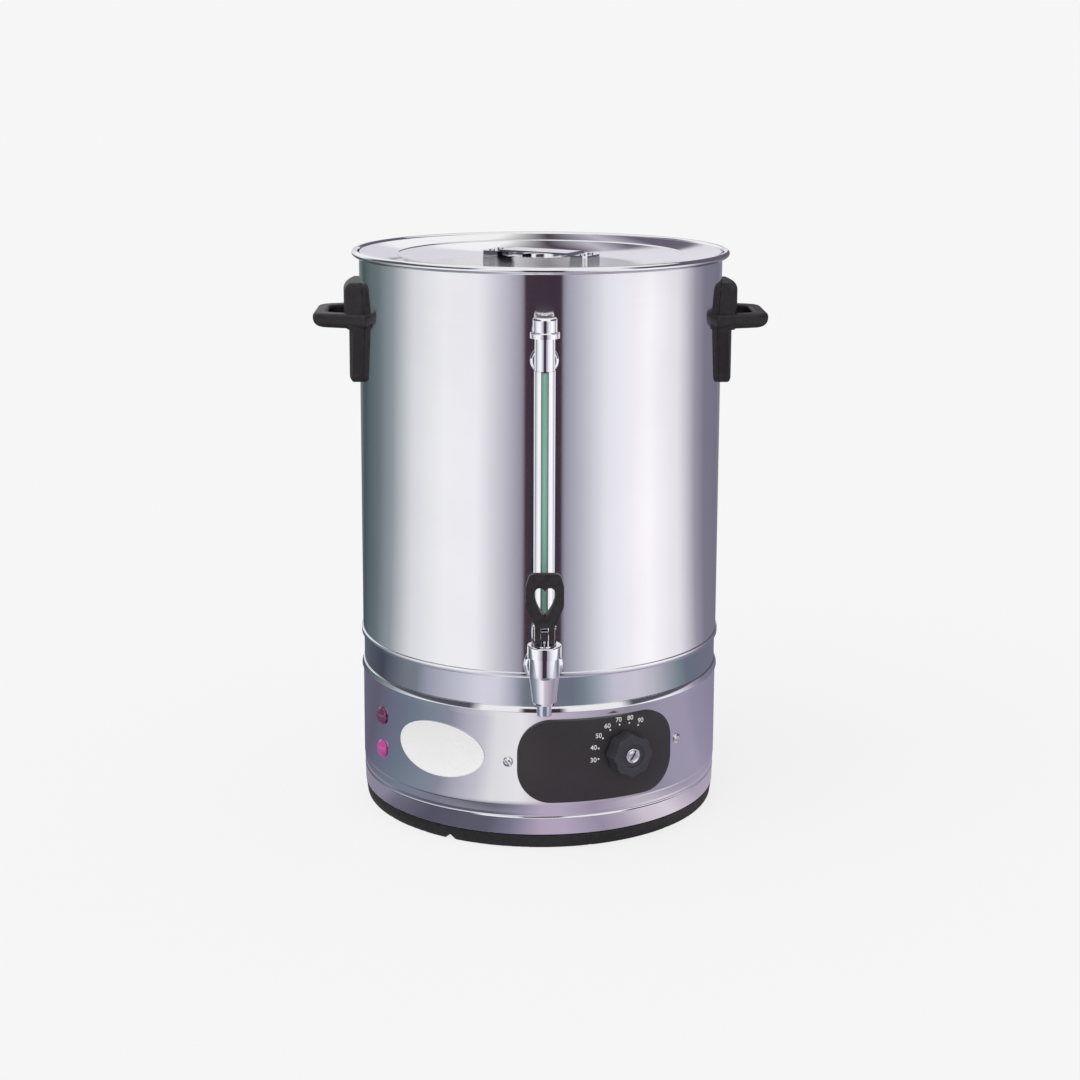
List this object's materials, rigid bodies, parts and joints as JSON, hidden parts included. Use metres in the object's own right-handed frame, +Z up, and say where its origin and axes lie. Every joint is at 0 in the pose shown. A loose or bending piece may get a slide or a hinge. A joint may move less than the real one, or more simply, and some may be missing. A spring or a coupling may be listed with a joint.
{
  "type": "hot water urn",
  "caption": "Upright steel hot water urn with a lift-off lid, side handles, a level gauge above a lever tap, and a base that holds a thermostat knob and lamps.",
  "frame": {"origin": "centre of the foot ring's underside, on the tank's upright axis", "axes": "+Z up, -Y towards the tap and gauge at the front, +X to the right seen from the front"},
  "size_m": [0.374, 0.3696, 0.465],
  "materials": {
    "shell_steel": "satin, brushed upright",
    "tank_steel": "satin",
    "base_steel": "satin",
    "sheet_steel": "dull, unpolished",
    "bright_metal": "polished",
    "screw_steel": "satin",
    "heater_metal": "dull, heat-darkened",
    "terminal_brass": "satin",
    "capillary_copper": "satin copper",
    "black_plastic": "fine grain",
    "panel_black": "smooth matt",
    "knob_plastic": "smooth, dark blue-grey",
    "inner_plastic": "moulded",
    "tap_plastic": "glossy black",
    "badge_white": "smooth",
    "lamp_violet": "translucent violet",
    "lamp_dim": "translucent violet, unlit",
    "line_green": "translucent green",
    "gauge_glass": "clear",
    "seal_rubber": "matt",
    "foot_rubber": "matt",
    "seat_rubber": "soft"
  },
  "bodies": {
    "urn": {"outer_shell": "shell_steel", "inner_tank": "tank_steel", "joint_collar": "base_steel", "base_housing": "base_steel", "foot_ring": "foot_rubber", "base_plate": "sheet_steel", "base_screws": "screw_steel", "control_panel": "panel_black", "control_bracket": "sheet_steel", "panel_screws": "screw_steel", "thermostat_body": "inner_plastic", "upper_lamp_lens": "lamp_dim", "lower_lamp_lens": "lamp_violet", "lamp_holders": "inner_plastic", "name_badge": "badge_white", "heating_element": "heater_metal", "element_seals": "seal_rubber", "element_nuts": "terminal_brass", "thermostat_bulb": "capillary_copper", "bulb_clip": "sheet_steel", "thermostat_capillary": "capillary_copper", "thermal_cutout": "inner_plastic", "terminal_block": "inner_plastic", "terminal_screws": "terminal_brass", "earth_stud": "terminal_brass", "earth_nut": "terminal_brass", "cord_gland": "black_plastic", "gland_nut": "black_plastic", "right_handle": "black_plastic", "left_handle": "black_plastic", "handle_screws": "screw_steel", "gauge_top_fitting": "bright_metal", "gauge_cap": "bright_metal", "gauge_top_nut": "screw_steel", "gauge_top_spacer": "inner_plastic", "gauge_guard": "bright_metal", "gauge_glass": "gauge_glass", "gauge_strip": "line_green", "gauge_seals": "seal_rubber", "tap_shank": "bright_metal", "tap_outer_seal": "seal_rubber", "tap_inner_seal": "seal_rubber", "tap_spacer": "inner_plastic", "tap_lock_nut": "screw_steel", "tap_body": "bright_metal", "bonnet_ring": "bright_metal", "tap_bonnet": "bright_metal", "tap_spring": "screw_steel"},
    "knob": {"control_knob": "knob_plastic", "thermostat_shaft": "screw_steel", "knob_screw": "bright_metal"},
    "tap_stem": {"tap_stem": "screw_steel", "seat_cup": "seat_rubber", "pivot_pin": "bright_metal"},
    "tap_lever": {"tap_lever": "tap_plastic"},
    "lid": {"lid_panel": "tank_steel", "lid_strap": "tank_steel", "lid_rivets": "screw_steel", "lid_spigot": "tank_steel"}
  },
  "joints": [
    {"name": "lid_lift", "type": "slide", "parent": "urn", "child": "lid", "axis": [0, 0, 1], "range_m": [0, 0.15]},
    {"name": "thermostat_turn", "type": "hinge", "parent": "urn", "child": "knob", "pos_m": [0.07009, -0.1476, 0.0777], "axis": [-0.4289, 0.9033, 0], "range_deg": [0, 270]},
    {"name": "stem_slide", "type": "slide", "parent": "urn", "child": "tap_stem", "axis": [0, 0, 1], "range_m": [0, 0.0048], "deforming": ["tap_spring"]},
    {"name": "tap_tip", "type": "hinge", "parent": "tap_stem", "child": "tap_lever", "pos_m": [0, -0.188, 0.1893], "axis": [1, 0, 0], "range_deg": [0, 50], "stiffness_Nm_per_rad": 0.3, "springref_deg": -11.46}
  ],
  "couplings": [
    {"joint": "stem_slide", "follows": "tap_tip", "m_per_rad": 0.0054}
  ]
}
